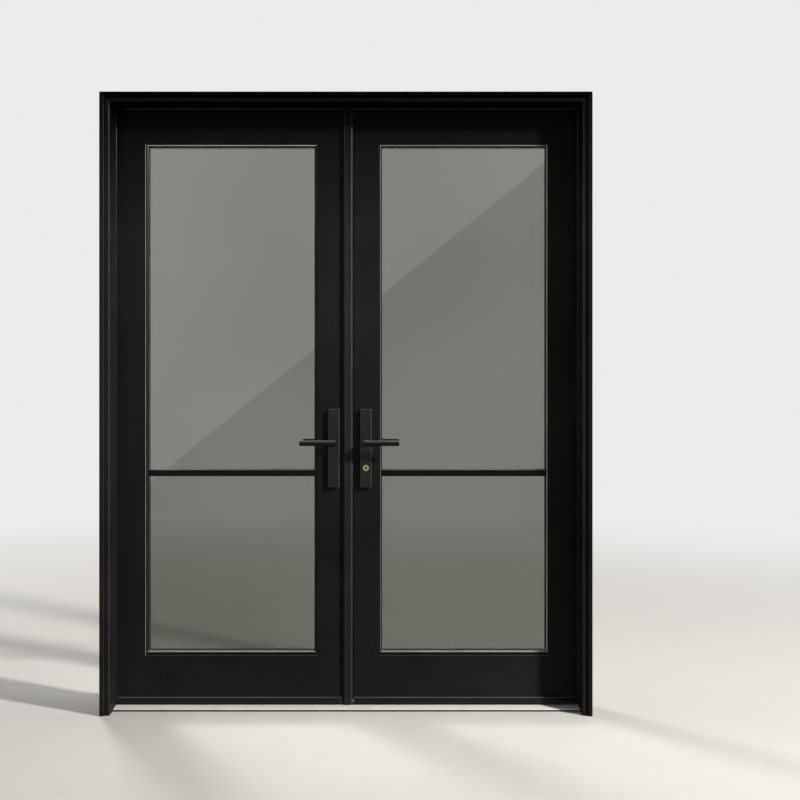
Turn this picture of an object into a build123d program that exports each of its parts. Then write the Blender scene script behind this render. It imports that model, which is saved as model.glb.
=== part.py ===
from build123d import *
import math
import os

# A pair of glazed doors that open inward, hung in their own frame.
# X runs along the wall, +Y points into the building and +Z is up.
# The left leaf is the passive one: it carries the astragal and its own shoot bolts.
# The right leaf is the active one: it carries the latch, the deadbolt and the key cylinder.
# The origin is on the underside of the sill, in the middle of the frame.

os.makedirs("parts", exist_ok=True)

# Leaves
leaf_height = 2400.0
leaf_thickness = 45.0
passive_width = 938.0
active_width = 915.0
hinge_stile_width = 126.0
passive_lock_stile_width = 116.0
active_lock_stile_width = 102.0
top_rail_height = 148.0
bottom_rail_height = 186.0
arris_radius = 2.0

# Gaps round the leaves
side_gap = 3.0
head_gap = 3.0
meeting_gap = 3.5
leaf_bottom = 22.0

# Glazing
bead_width = 14.0
sill_bead_height = 20.0
bead_flat = 8.0
bead_flush_depth = 1.5
bead_edge_depth = 6.5
bead_depth = 10.5
bead_mitre_gap = 0.4
pane_thickness = 4.0
pane_clearance = 3.0
spacer_width = 8.0
bar_height = 30.0
bar_face_height = 22.0
bar_above_leaf_bottom = 924.0
bar_thickness = 8.5
spacer_bar_height = 20.0

# Astragal on the passive leaf's free edge
astragal_core_width = 23.5
astragal_flange_lap = 21.0
astragal_flange_thickness = 3.0
astragal_rabbet_depth = 8.0
astragal_nose_lap = 10.0
astragal_nose_depth = 14.0
astragal_nose_radius = 5.0
meeting_seal_width = 2.8
meeting_seal_depth = 5.0
meeting_seal_setback = 4.0

# Frame
jamb_board = 24.0
stop_projection = 13.0
stop_mitre_gap = 0.4
jamb_depth = 167.0
face_band = 17.0
face_step = 8.0
stop_nose_radius = 4.0
frame_arris_radius = 1.5
seal_space = 6.5
seal_width = 8.0
seal_inset = 1.5
seal_clearance = 0.3
seal_radius = 2.5

# Sill
sill_base_height = 6.0
sill_nose_length = 54.5
sill_nose_lip = 8.0
sill_nose_height = 7.0
sill_nose_radius = 3.0
sill_deck_top = 12.0
sill_cap_setback = 3.5
sill_cap_top = 13.0
sill_cap_back = 10.0
sill_cap_slope_run = 10.0

# Strips along the leaves' bottom edges
drip_depth = 12.0
drip_top = 46.0
drip_slope = 3.0
drip_above_cap = 6.0
drip_end_gap = 3.0
drip_chamfer = 3.0
sweep_depth = 28.0
sweep_clearance = 0.3
sweep_fin_thickness = 2.0
sweep_fins = 4
sweep_web = 2.0
sweep_end_gap = 2.0

# Hinges
hinge_count = 4
hinge_height = 100.0
hinge_from_leaf_end = 190.0
hinge_plate_thickness = 2.7
hinge_plate_depth = 36.0
knuckle_radius = 6.0
knuckle_gap = 0.3
pin_radius = 3.0
pin_setback = 6.2
pin_clearance = 0.05
pin_head_radius = 5.0
pin_head_height = 2.5

# Handles
lever_height = 1068.0
passive_backset = 51.0
active_backset = 51.0
plate_width = 46.0
plate_height = 315.0
plate_thickness = 16.0
plate_corner_radius = 5.0
plate_edge_radius = 3.0
plate_centre_drop = 22.0
collar_radius = 12.5
collar_height = 2.0
lever_radius = 11.0
lever_reach = 134.0
lever_standoff = 50.0
lever_tip_radius = 1.5
lever_gap = 0.3
neck_radius = 9.0
neck_depth = 12.0
running_clearance = 0.06
spindle_side = 8.0
spindle_hole_radius = 6.5
spindle_grip = 10.0

# Locks
case_thickness = 16.0
case_depth = 72.0
active_case_above = 47.0
active_case_below = 143.0
passive_case_reach = 50.0
faceplate_thickness = 3.0
faceplate_width = 20.0
faceplate_margin = 12.0
faceplate_radius = 3.0
bolt_inset = 1.0
bolt_side_clearance = 0.3
latch_depth = 11.0
latch_height = 18.0
latch_length = 40.0
latch_travel = 11.0
latch_bevel = 8.0
deadbolt_depth = 12.0
deadbolt_height = 34.0
deadbolt_length = 36.0
deadbolt_travel = 20.0
pocket_clearance = 1.5
pocket_end_gap = 2.5
strike_thickness = 2.0
strike_margin = 18.0
key_drop = 102.0
cylinder_radius = 12.0
cylinder_proud = 2.5
plug_radius = 7.0
plug_proud = 0.6
keyway_width = 2.0
keyway_height = 8.5
keyway_depth = 6.0
tail_width = 8.0
tail_thickness = 3.0
tail_hole_radius = 6.0
turn_neck_radius = 8.0
turn_collar_radius = 12.0
turn_collar_height = 3.0
turn_grip_height = 30.0
turn_grip_width = 9.0
turn_grip_reach = 18.0
turn_grip_radius = 4.0

# Shoot bolts of the passive leaf
shoot_radius = 6.0
shoot_clearance = 0.3
shoot_length = 150.0
shoot_travel = 20.0
shoot_setback = 14.0
shoot_chamfer = 1.5
shoot_strike_length = 44.0
shoot_strike_width = 20.0
shoot_pocket_clearance = 1.5

# Fixing screws through the side jambs
fixing_count = 4
fixing_radius = 3.0
fixing_head_radius = 6.0
fixing_from_foot = 330.0
fixing_from_head = 319.0

# Worked out from the values above
leaf_top = leaf_bottom + leaf_height
leaf_back = jamb_depth / 2
leaf_front = leaf_back - leaf_thickness
leaf_middle = (leaf_front + leaf_back) / 2
opening_half = (2 * side_gap + passive_width + astragal_core_width + meeting_gap + active_width) / 2
stop_half = opening_half - stop_projection
frame_half = opening_half + jamb_board
head_rabbet = leaf_top + head_gap
head_stop = head_rabbet - stop_projection
frame_height = head_rabbet + jamb_board
frame_front = -jamb_depth / 2
step_front = frame_front + face_step
band_half = frame_half - face_band
band_bottom = frame_height - face_band
stop_back = leaf_front - seal_space
sill_nose = leaf_front - sill_nose_length
cap_front = leaf_front + sill_cap_setback
strip_bottom = sill_cap_top + drip_above_cap
glazing_bottom = leaf_bottom + bottom_rail_height
glazing_top = leaf_top - top_rail_height
bar_middle = leaf_bottom + bar_above_leaf_bottom
outer_pane_face = leaf_front + bead_depth
inner_pane_face = leaf_back - bead_depth
plate_front = leaf_front - plate_thickness
plate_back = leaf_back + plate_thickness
key_height = lever_height - key_drop
pin_y = leaf_back + pin_setback
hinge_first = leaf_bottom + hinge_from_leaf_end
hinge_step = (leaf_height - 2 * hinge_from_leaf_end) / (hinge_count - 1)
hinge_heights = [hinge_first + n * hinge_step for n in range(hinge_count)]
fixing_step = (frame_height - fixing_from_foot - fixing_from_head) / (fixing_count - 1)
fixing_heights = [fixing_from_foot + n * fixing_step for n in range(fixing_count)]
plate_middle = lever_height - plate_centre_drop
rabbet_back = leaf_front + astragal_rabbet_depth
flange_face = rabbet_back - astragal_flange_thickness


class Leaf:
    """Where one leaf stands: side is -1 for the left leaf and +1 for the right one."""

    def __init__(self, name, side, width, lock_stile_width, backset):
        self.name = name
        self.side = side
        self.hinge_edge = side * (opening_half - side_gap)
        self.free_edge = self.hinge_edge - side * width
        self.hinge_sight = self.hinge_edge - side * hinge_stile_width
        self.lock_sight = self.free_edge + side * lock_stile_width
        self.spindle_x = self.free_edge + side * backset
        self.glass_low, self.glass_high = sorted((self.hinge_sight, self.lock_sight))
        self.pin_x = side * (opening_half - side_gap / 2)


passive = Leaf("passive", -1, passive_width, passive_lock_stile_width, passive_backset)
active = Leaf("active", 1, active_width, active_lock_stile_width, active_backset)
astragal_edge = passive.free_edge + astragal_core_width
shoot_x = passive.free_edge - shoot_setback
glazing_middle = (glazing_bottom + glazing_top) / 2


def save(piece, label):
    """Names a finished piece and writes it."""
    piece.part.label = label
    export_step(piece.part, f"parts/{label}.step")


def block(x0, x1, y0, y1, z0, z1, mode=Mode.ADD):
    """A rectangular block between two opposite corners."""
    with Locations(((x0 + x1) / 2, (y0 + y1) / 2, (z0 + z1) / 2)):
        Box(abs(x1 - x0), abs(y1 - y0), abs(z1 - z0), mode=mode)


def upright(x, y, z0, z1, radius, mode=Mode.ADD):
    """A round bar or hole along Z."""
    with Locations((x, y, (z0 + z1) / 2)):
        Cylinder(radius, abs(z1 - z0), mode=mode)


def through(x, z, y0, y1, radius, mode=Mode.ADD):
    """A round bar or hole along Y."""
    with Locations((x, (y0 + y1) / 2, z)):
        Cylinder(radius, abs(y1 - y0), rotation=(90, 0, 0), mode=mode)


def spindle_hole(leaf):
    """The hole through a leaf that its levers' spindle turns in."""
    through(leaf.spindle_x, lever_height, leaf_front, leaf_back, spindle_hole_radius, mode=Mode.SUBTRACT)


def shoot_socket(low, high):
    """A square mortise that a shoot bolt slides into."""
    half = shoot_radius + shoot_pocket_clearance
    block(
        shoot_x - half,
        shoot_x + half,
        leaf_middle - half,
        leaf_middle + half,
        low,
        high,
        mode=Mode.SUBTRACT,
    )


def cylinder_hole():
    """The active leaf's hole for the key cylinder, narrower behind it for the tail."""
    through(active.spindle_x, key_height, leaf_front, leaf_middle, cylinder_radius, mode=Mode.SUBTRACT)
    through(active.spindle_x, key_height, leaf_middle, leaf_back, tail_hole_radius, mode=Mode.SUBTRACT)


# Frame


def side_jamb(label, leaf):
    """An upright jamb with its stepped face, mitred head end, hinge mortises and fixing holes."""
    side = leaf.side
    with BuildPart() as jamb:
        with BuildSketch() as section:
            with BuildLine():
                Polyline(
                    (side * band_half, frame_front),
                    (side * frame_half, frame_front),
                    (side * frame_half, leaf_back),
                    (side * opening_half, leaf_back),
                    (side * opening_half, step_front),
                    (side * band_half, step_front),
                    close=True,
                )
            make_face()
            fillet(section.vertices().group_by(Axis.Y)[0], radius=frame_arris_radius)
        extrude(amount=frame_height)
        mitre = Plane(origin=(side * frame_half, 0, frame_height), z_dir=(side, 0, -1))
        split(bisect_by=mitre, keep=Keep.TOP)
        for z in hinge_heights:
            block(
                side * opening_half,
                side * (opening_half + hinge_plate_thickness),
                leaf_back - hinge_plate_depth,
                leaf_back,
                z - hinge_height / 2,
                z + hinge_height / 2,
                mode=Mode.SUBTRACT,
            )
        for z in fixing_heights:
            face = Plane(origin=(side * opening_half, leaf_middle, z), z_dir=(-side, 0, 0))
            with Locations(face):
                CounterSinkHole(fixing_radius, fixing_head_radius)
    save(jamb, label)


def head_jamb():
    """The head of the frame, with the side jambs' section and both ends mitred."""
    with BuildPart() as head:
        with BuildSketch(Plane.YZ.offset(-frame_half)) as section:
            with BuildLine():
                Polyline(
                    (frame_front, band_bottom),
                    (frame_front, frame_height),
                    (leaf_back, frame_height),
                    (leaf_back, head_rabbet),
                    (step_front, head_rabbet),
                    (step_front, band_bottom),
                    close=True,
                )
            make_face()
            fillet(section.vertices().group_by(Axis.X)[0], radius=frame_arris_radius)
        extrude(amount=2 * frame_half)
        for side in (-1, 1):
            mitre = Plane(origin=(side * frame_half, 0, frame_height), z_dir=(-side, 0, 1))
            split(bisect_by=mitre, keep=Keep.TOP)
        block(
            shoot_x - shoot_strike_length / 2,
            shoot_x + shoot_strike_length / 2,
            leaf_middle - shoot_strike_width / 2,
            leaf_middle + shoot_strike_width / 2,
            head_rabbet,
            head_rabbet + strike_thickness,
            mode=Mode.SUBTRACT,
        )
        shoot_socket(head_rabbet, leaf_top - bolt_inset + shoot_travel + shoot_pocket_clearance)
    save(head, "head_jamb")


def stop_strips():
    """The three strips that the leaves close against, with rounded noses and mitred at the head."""
    corner = stop_projection * math.sqrt(2)
    with BuildPart() as strips:
        block(-opening_half, opening_half, step_front, stop_back, 0, head_rabbet)
        block(-stop_half, stop_half, step_front, stop_back, 0, head_stop, mode=Mode.SUBTRACT)
        front_edges = strips.faces().sort_by(Axis.Y)[0].edges()
        nose = front_edges.filter_by_position(Axis.X, -stop_half, stop_half)
        fillet(nose.filter_by_position(Axis.Z, leaf_bottom, head_stop), radius=stop_nose_radius)
        for side in (-1, 1):
            x = side * (stop_half + opening_half) / 2
            mitre = Location((x, (step_front + stop_back) / 2, (head_stop + head_rabbet) / 2), (0, -side * 45, 0))
            with Locations(mitre):
                Box(2 * corner, stop_back - step_front, stop_mitre_gap, mode=Mode.SUBTRACT)
    save(strips, "stop_strips")


def side_weatherstrip(label, leaf):
    """The compression seal on the back of a side stop."""
    near = leaf.side * (stop_half + seal_inset)
    far = near + leaf.side * seal_width
    with BuildPart() as seal:
        block(near, far, stop_back, leaf_front - seal_clearance, sill_deck_top, head_stop + seal_inset)
        rounded = seal.edges().filter_by(Axis.Z).group_by(Axis.Y)[-1]
        fillet(rounded, radius=seal_radius)
    save(seal, label)


def head_weatherstrip():
    """The compression seal on the back of the head stop."""
    reach = stop_half + seal_inset + seal_width
    low = head_stop + seal_inset
    with BuildPart() as seal:
        block(-reach, reach, stop_back, leaf_front - seal_clearance, low, low + seal_width)
        rounded = seal.edges().filter_by(Axis.X).group_by(Axis.Y)[-1]
        fillet(rounded, radius=seal_radius)
    save(seal, "head_weatherstrip")


def sill_base():
    """The flat board under the threshold."""
    bolt_end = leaf_bottom + bolt_inset - shoot_travel
    with BuildPart() as base:
        block(-stop_half, stop_half, sill_nose + sill_nose_lip, leaf_back, 0, sill_base_height)
        shoot_socket(bolt_end - shoot_pocket_clearance, sill_base_height)
    save(base, "sill_base")


def sill_deck():
    """The sloping extrusion that laps over the front of the base and turns down at its nose."""
    with BuildPart() as deck:
        with BuildSketch(Plane.YZ.offset(-stop_half)) as section:
            with BuildLine():
                Polyline(
                    (sill_nose, 0),
                    (sill_nose, sill_nose_height),
                    (cap_front, sill_deck_top),
                    (cap_front, sill_base_height),
                    (sill_nose + sill_nose_lip, sill_base_height),
                    (sill_nose + sill_nose_lip, 0),
                    close=True,
                )
            make_face()
            nose_corner = section.vertices().sort_by_distance((sill_nose, sill_nose_height))[0]
            fillet(nose_corner, radius=sill_nose_radius)
        extrude(amount=2 * stop_half)
    save(deck, "sill_deck")


def sill_cap():
    """The cap under the leaves, which the sweeps run over."""
    with BuildPart() as cap:
        with BuildSketch(Plane.YZ.offset(-opening_half)):
            with BuildLine():
                Polyline(
                    (cap_front, sill_base_height),
                    (cap_front, sill_cap_top),
                    (leaf_back - sill_cap_slope_run, sill_cap_top),
                    (leaf_back, sill_cap_back),
                    (leaf_back, sill_base_height),
                    close=True,
                )
            make_face()
        extrude(amount=2 * opening_half)
        block(
            shoot_x - shoot_strike_length / 2,
            shoot_x + shoot_strike_length / 2,
            leaf_middle - shoot_strike_width / 2,
            leaf_middle + shoot_strike_width / 2,
            sill_cap_top - strike_thickness,
            sill_cap_top,
            mode=Mode.SUBTRACT,
        )
        shoot_socket(sill_base_height, sill_cap_top)
    save(cap, "sill_cap")


def shoot_strikes():
    """The two flush plates that the shoot bolts pass through, in the head and in the sill cap."""
    socket_half = shoot_radius + shoot_pocket_clearance
    with BuildPart() as strikes:
        for low in (head_rabbet, sill_cap_top - strike_thickness):
            with BuildSketch(Plane.XY.offset(low)):
                with Locations((shoot_x, leaf_middle)):
                    Rectangle(shoot_strike_length, shoot_strike_width)
                    Rectangle(2 * socket_half, 2 * socket_half, mode=Mode.SUBTRACT)
            extrude(amount=strike_thickness)
    save(strikes, "shoot_bolt_strikes")


# Hinges


def hinge_halves(label, leaves, on_frame):
    """Hinge plates with their knuckles: the frame has the outer two and the leaf the middle one."""
    knuckle = (hinge_height - 2 * knuckle_gap) / 3
    bore = pin_radius if on_frame else pin_radius + pin_clearance
    with BuildPart() as halves:
        for leaf in leaves:
            if on_frame:
                face = leaf.side * opening_half
                back = face + leaf.side * hinge_plate_thickness
            else:
                face = leaf.hinge_edge
                back = face - leaf.side * hinge_plate_thickness
            for z in hinge_heights:
                low = z - hinge_height / 2
                block(face, back, leaf_back - hinge_plate_depth, leaf_back, low, low + hinge_height)
                for n in (0, 2) if on_frame else (1,):
                    start = low + n * (knuckle + knuckle_gap)
                    block(face, back, leaf_back, pin_y, start, start + knuckle)
                    upright(leaf.pin_x, pin_y, start, start + knuckle, knuckle_radius)
                upright(leaf.pin_x, pin_y, low, low + hinge_height, bore, mode=Mode.SUBTRACT)
    save(halves, label)


def hinge_pins():
    """One loose pin for each hinge, with a flat head over the top knuckle."""
    with BuildPart() as pins:
        for leaf in (passive, active):
            for z in hinge_heights:
                top = z + hinge_height / 2
                upright(leaf.pin_x, pin_y, top - hinge_height, top, pin_radius)
                upright(leaf.pin_x, pin_y, top, top + pin_head_height, pin_head_radius)
    save(pins, "hinge_pins")


# Leaves


def hinge_stile(leaf):
    """The stile on the hinge side, with the hinge mortises in its edge."""
    with BuildPart() as stile:
        block(leaf.hinge_edge, leaf.hinge_sight, leaf_front, leaf_back, leaf_bottom, leaf_top)
        uprights = stile.edges().filter_by(Axis.Z)
        outer_face = uprights.group_by(Axis.Y)[0]
        fillet(outer_face.sort_by(Axis.X)[-1 if leaf.side > 0 else 0], radius=arris_radius)
        for z in hinge_heights:
            block(
                leaf.hinge_edge,
                leaf.hinge_edge - leaf.side * hinge_plate_thickness,
                leaf_back - hinge_plate_depth,
                leaf_back,
                z - hinge_height / 2,
                z + hinge_height / 2,
                mode=Mode.SUBTRACT,
            )
    save(stile, f"{leaf.name}_hinge_stile")


def passive_lock_stile():
    """The passive leaf's free stile, rabbeted for the astragal, with room for its lock case and bolts."""
    leaf = passive
    case_edge = leaf.free_edge - faceplate_thickness
    bore_radius = shoot_radius + shoot_clearance
    with BuildPart() as stile:
        block(leaf.free_edge, leaf.lock_sight, leaf_front, leaf_back, leaf_bottom, leaf_top)
        block(
            leaf.free_edge,
            leaf.free_edge - astragal_flange_lap,
            leaf_front,
            rabbet_back,
            leaf_bottom,
            leaf_top,
            mode=Mode.SUBTRACT,
        )
        block(
            leaf.free_edge,
            case_edge - case_depth,
            leaf_middle - case_thickness / 2,
            leaf_middle + case_thickness / 2,
            lever_height - passive_case_reach,
            lever_height + passive_case_reach,
            mode=Mode.SUBTRACT,
        )
        spindle_hole(leaf)
        top_end = leaf_top - bolt_inset - shoot_length - shoot_clearance
        upright(shoot_x, leaf_middle, top_end, leaf_top, bore_radius, mode=Mode.SUBTRACT)
        bottom_end = leaf_bottom + bolt_inset + shoot_length + shoot_clearance
        upright(shoot_x, leaf_middle, leaf_bottom, bottom_end, bore_radius, mode=Mode.SUBTRACT)
    save(stile, "passive_lock_stile")


def active_lock_stile():
    """The active leaf's free stile, with room for its lock case, faceplate and key cylinder."""
    leaf = active
    case_edge = leaf.free_edge + faceplate_thickness
    with BuildPart() as stile:
        block(leaf.free_edge, leaf.lock_sight, leaf_front, leaf_back, leaf_bottom, leaf_top)
        fillet(stile.edges().filter_by(Axis.Z).group_by(Axis.X)[0], radius=arris_radius)
        block(
            case_edge,
            case_edge + case_depth,
            leaf_middle - case_thickness / 2,
            leaf_middle + case_thickness / 2,
            lever_height - active_case_below,
            lever_height + active_case_above,
            mode=Mode.SUBTRACT,
        )
        block(
            leaf.free_edge,
            case_edge,
            leaf_middle - faceplate_width / 2,
            leaf_middle + faceplate_width / 2,
            lever_height - active_case_below - faceplate_margin,
            lever_height + active_case_above + faceplate_margin,
            mode=Mode.SUBTRACT,
        )
        spindle_hole(leaf)
        cylinder_hole()
    save(stile, "active_lock_stile")


def rail(leaf, label, low, high):
    """A cross rail between the two stiles."""
    with BuildPart() as piece:
        block(leaf.hinge_sight, leaf.lock_sight, leaf_front, leaf_back, low, high)
    save(piece, f"{leaf.name}_{label}")


# Glazing


def bead_void(leaf, face, inward):
    """The space that four beads leave open, from their sloping faces to the glass."""
    width = leaf.glass_high - leaf.glass_low
    height = glazing_top - glazing_bottom
    lift = (sill_bead_height - bead_width) / 2
    centre_x = (leaf.glass_low + leaf.glass_high) / 2
    with BuildPart() as void:
        for depth, inset in ((bead_flush_depth, bead_flat), (bead_edge_depth, bead_width)):
            with BuildSketch(Plane.XZ.offset(-face - inward * depth)):
                with Locations((centre_x, glazing_middle + lift)):
                    Rectangle(width - 2 * inset, height - 2 * inset - 2 * lift)
        loft()
        block(
            leaf.glass_low + bead_width,
            leaf.glass_high - bead_width,
            face + inward * bead_edge_depth,
            face + inward * bead_depth,
            glazing_bottom + sill_bead_height,
            glazing_top - bead_width,
        )
    return void.part


def glazing_beads(leaf, label, face, inward):
    """Four mitred beads that hold the glass from one face: inward is the way to the glass along Y."""
    void = bead_void(leaf, face, inward)
    corners = [
        (leaf.glass_low, glazing_bottom, sill_bead_height, 1),
        (leaf.glass_high, glazing_bottom, sill_bead_height, -1),
        (leaf.glass_low, glazing_top, -bead_width, 1),
        (leaf.glass_high, glazing_top, -bead_width, -1),
    ]
    with BuildPart() as beads:
        block(
            leaf.glass_low,
            leaf.glass_high,
            face + inward * bead_flush_depth,
            face + inward * bead_depth,
            glazing_bottom,
            glazing_top,
        )
        add(void, mode=Mode.SUBTRACT)
        for x, z, rise, direction in corners:
            run = direction * bead_width
            turn = -math.degrees(math.atan2(rise, run))
            centre = (x + run / 2, face + inward * bead_depth / 2, z + rise / 2)
            with Locations(Location(centre, (0, turn, 0))):
                Box(2 * math.hypot(rise, run), 2 * bead_depth, bead_mitre_gap, mode=Mode.SUBTRACT)
    save(beads, f"{leaf.name}_{label}")


def glazing_bar(leaf, face, inward):
    """The bar across the glass on one face, coped to the beads at its ends."""
    void = bead_void(leaf, face, inward)
    glass = face + inward * bead_depth
    front = glass - inward * bar_thickness
    with BuildPart() as bar:
        with BuildSketch(Plane.YZ.offset(leaf.glass_low)):
            with BuildLine():
                Polyline(
                    (glass, bar_middle - bar_height / 2),
                    (front, bar_middle - bar_face_height / 2),
                    (front, bar_middle + bar_face_height / 2),
                    (glass, bar_middle + bar_height / 2),
                    close=True,
                )
            make_face()
        extrude(amount=leaf.glass_high - leaf.glass_low)
        add(void, mode=Mode.INTERSECT)
    return bar.part


def glazing_bars(leaf):
    """The two bars, one on each face of the glass."""
    outer = glazing_bar(leaf, leaf_front, 1)
    inner = glazing_bar(leaf, leaf_back, -1)
    with BuildPart() as bars:
        add(outer)
        add(inner)
    save(bars, f"{leaf.name}_glazing_bars")


def panes(leaf):
    """The two sheets of glass of the sealed unit."""
    with BuildPart() as sheets:
        for near, far in (
            (outer_pane_face, outer_pane_face + pane_thickness),
            (inner_pane_face - pane_thickness, inner_pane_face),
        ):
            block(
                leaf.glass_low + pane_clearance,
                leaf.glass_high - pane_clearance,
                near,
                far,
                glazing_bottom + pane_clearance,
                glazing_top - pane_clearance,
            )
    save(sheets, f"{leaf.name}_panes")


def pane_spacer(leaf):
    """The spacer round the sealed unit's edge, with a bar across it behind the glazing bars."""
    near = outer_pane_face + pane_thickness
    far = inner_pane_face - pane_thickness
    edge = pane_clearance + spacer_width
    with BuildPart() as spacer:
        block(
            leaf.glass_low + pane_clearance,
            leaf.glass_high - pane_clearance,
            near,
            far,
            glazing_bottom + pane_clearance,
            glazing_top - pane_clearance,
        )
        for low, high in (
            (glazing_bottom + edge, bar_middle - spacer_bar_height / 2),
            (bar_middle + spacer_bar_height / 2, glazing_top - edge),
        ):
            block(leaf.glass_low + edge, leaf.glass_high - edge, near, far, low, high, mode=Mode.SUBTRACT)
    save(spacer, f"{leaf.name}_pane_spacer")


# Strips on the leaves


def drip_strip(leaf, near_end, far_end):
    """The strip that throws water off the foot of a leaf."""
    front = leaf_front - drip_depth
    with BuildPart() as strip:
        with BuildSketch(Plane.YZ.offset(min(near_end, far_end))):
            with BuildLine():
                Polyline(
                    (leaf_front, strip_bottom),
                    (leaf_front, drip_top),
                    (front, drip_top - drip_slope),
                    (front, strip_bottom + drip_chamfer),
                    (front + drip_chamfer, strip_bottom),
                    close=True,
                )
            make_face()
        extrude(amount=abs(far_end - near_end))
    save(strip, f"{leaf.name}_drip_strip")


def sweep_seal(leaf):
    """The finned rubber seal under a leaf, which stops just short of the sill cap."""
    free_end = leaf.free_edge + leaf.side * sweep_end_gap
    hinge_end = leaf.hinge_edge - leaf.side * sweep_end_gap
    low, high = sorted((free_end, hinge_end))
    front = leaf_middle - sweep_depth / 2
    pitch = (sweep_depth - sweep_fin_thickness) / (sweep_fins - 1)
    fin_bottom = sill_cap_top + sweep_clearance
    with BuildPart() as seal:
        block(low, high, front, front + sweep_depth, leaf_bottom - sweep_web, leaf_bottom)
        for n in range(sweep_fins):
            start = front + n * pitch
            block(low, high, start, start + sweep_fin_thickness, fin_bottom, leaf_bottom - sweep_web)
        if leaf is passive:
            hole_radius = shoot_radius + shoot_pocket_clearance
            upright(shoot_x, leaf_middle, fin_bottom, leaf_bottom, hole_radius, mode=Mode.SUBTRACT)
    save(seal, f"{leaf.name}_sweep_seal")


def bolt_way(travel, depth, height, z):
    """A straight blind hole from the astragal's edge that a bolt of the active leaf slides into."""
    deep = active.free_edge - travel - pocket_end_gap
    half_depth = depth / 2 + pocket_clearance
    half_height = height / 2 + pocket_clearance
    block(
        astragal_edge,
        deep,
        leaf_middle - half_depth,
        leaf_middle + half_depth,
        z - half_height,
        z + half_height,
        mode=Mode.SUBTRACT,
    )


strike_low = key_height - deadbolt_height / 2 - strike_margin
strike_high = lever_height + latch_height / 2 + strike_margin


def astragal():
    """The strip on the passive leaf's free edge: a core, a flange in the rabbet and a round-edged nose."""
    face_top = head_stop - head_gap
    with BuildPart() as strip:
        with BuildSketch(Plane.XY.offset(strip_bottom)):
            with Locations(((passive.free_edge + astragal_edge) / 2, leaf_middle)):
                Rectangle(astragal_core_width, leaf_thickness)
        extrude(amount=leaf_top - strip_bottom)
        with BuildSketch(Plane.XY.offset(strip_bottom)) as front:
            with BuildLine():
                Polyline(
                    (astragal_edge, rabbet_back),
                    (astragal_edge, leaf_front - astragal_nose_depth),
                    (passive.free_edge - astragal_nose_lap, leaf_front - astragal_nose_depth),
                    (passive.free_edge - astragal_nose_lap, flange_face),
                    (passive.free_edge - astragal_flange_lap, flange_face),
                    (passive.free_edge - astragal_flange_lap, rabbet_back),
                    close=True,
                )
            make_face()
            fillet(front.vertices().group_by(Axis.Y)[0], radius=astragal_nose_radius)
        extrude(amount=face_top - strip_bottom)
        block(
            astragal_edge,
            astragal_edge - strike_thickness,
            leaf_middle - faceplate_width / 2,
            leaf_middle + faceplate_width / 2,
            strike_low,
            strike_high,
            mode=Mode.SUBTRACT,
        )
        bolt_way(latch_travel, latch_depth, latch_height, lever_height)
        bolt_way(deadbolt_travel, deadbolt_depth, deadbolt_height, key_height)
    save(strip, "astragal")


def astragal_strike():
    """The flush plate on the astragal's edge with a hole for the latch and one for the deadbolt."""
    back = astragal_edge - strike_thickness
    with BuildPart() as strike:
        block(
            astragal_edge,
            back,
            leaf_middle - faceplate_width / 2,
            leaf_middle + faceplate_width / 2,
            strike_low,
            strike_high,
        )
        bolt_way(latch_travel, latch_depth, latch_height, lever_height)
        bolt_way(deadbolt_travel, deadbolt_depth, deadbolt_height, key_height)
    save(strike, "astragal_strike")


def meeting_seal():
    """The bulb seal in the gap between the astragal and the active leaf."""
    far = leaf_back - meeting_seal_setback
    with BuildPart() as seal:
        block(
            astragal_edge,
            astragal_edge + meeting_seal_width,
            far - meeting_seal_depth,
            far,
            leaf_bottom,
            leaf_top,
        )
        fillet(seal.edges().filter_by(Axis.Z).group_by(Axis.X)[-1], radius=meeting_seal_width / 2)
    save(seal, "meeting_seal")


# Handles


def handle_plate(leaf, label, outward, has_key):
    """A tall plate with a collar for the lever, and below it the hole for the cylinder or the thumbturn."""
    face = leaf_front if outward < 0 else leaf_back
    front = face + outward * plate_thickness
    collar_front = front + outward * collar_height
    neck_end = collar_front - outward * neck_depth
    mid_face = Plane(origin=(leaf.spindle_x, face, plate_middle), x_dir=(1, 0, 0), z_dir=(0, outward, 0))
    with BuildPart() as plate:
        with BuildSketch(mid_face):
            RectangleRounded(plate_width, plate_height, plate_corner_radius)
        extrude(amount=plate_thickness)
        fillet(plate.faces().sort_by(Axis.Y)[0 if outward < 0 else -1].edges(), radius=plate_edge_radius)
        through(leaf.spindle_x, lever_height, front, collar_front, collar_radius)
        through(
            leaf.spindle_x,
            lever_height,
            collar_front,
            neck_end,
            neck_radius + running_clearance,
            mode=Mode.SUBTRACT,
        )
        through(leaf.spindle_x, lever_height, neck_end, face, spindle_hole_radius, mode=Mode.SUBTRACT)
        if has_key and outward < 0:
            through(leaf.spindle_x, key_height, front, face, cylinder_radius, mode=Mode.SUBTRACT)
        if has_key and outward > 0:
            turn_hole = turn_neck_radius + running_clearance
            through(leaf.spindle_x, key_height, front, face, turn_hole, mode=Mode.SUBTRACT)
    save(plate, f"{leaf.name}_{label}")


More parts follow.
